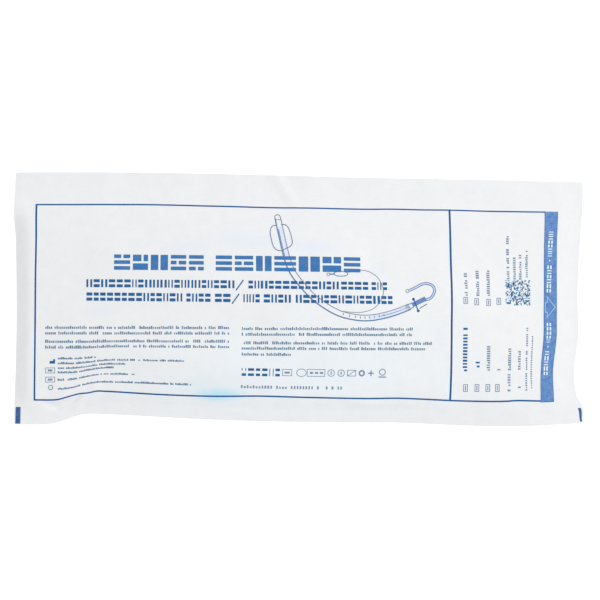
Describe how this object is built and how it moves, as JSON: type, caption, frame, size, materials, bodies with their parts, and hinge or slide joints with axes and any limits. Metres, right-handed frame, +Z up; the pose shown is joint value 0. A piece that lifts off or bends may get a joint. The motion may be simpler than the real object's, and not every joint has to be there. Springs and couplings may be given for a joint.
{
  "type": "sealed sterile peel pouch",
  "caption": "Flat sealed medical peel pouch with a printed paper face and open peel lips at one end, softly filled by a breathing tube kit and lying on its back.",
  "frame": {"origin": "on the table, under the middle of the pouch's outline", "axes": "+X along the length towards the peel-open end, +Y across towards the top edge of the print, +Z up out of the printed paper face"},
  "size_m": [0.401, 0.1758, 0.0199],
  "materials": {
    "medical_paper": "matte white medical paper, faintly mottled"
  },
  "bodies": {
    "root": {"peel_pouch": "medical_paper"}
  },
  "joints": []
}
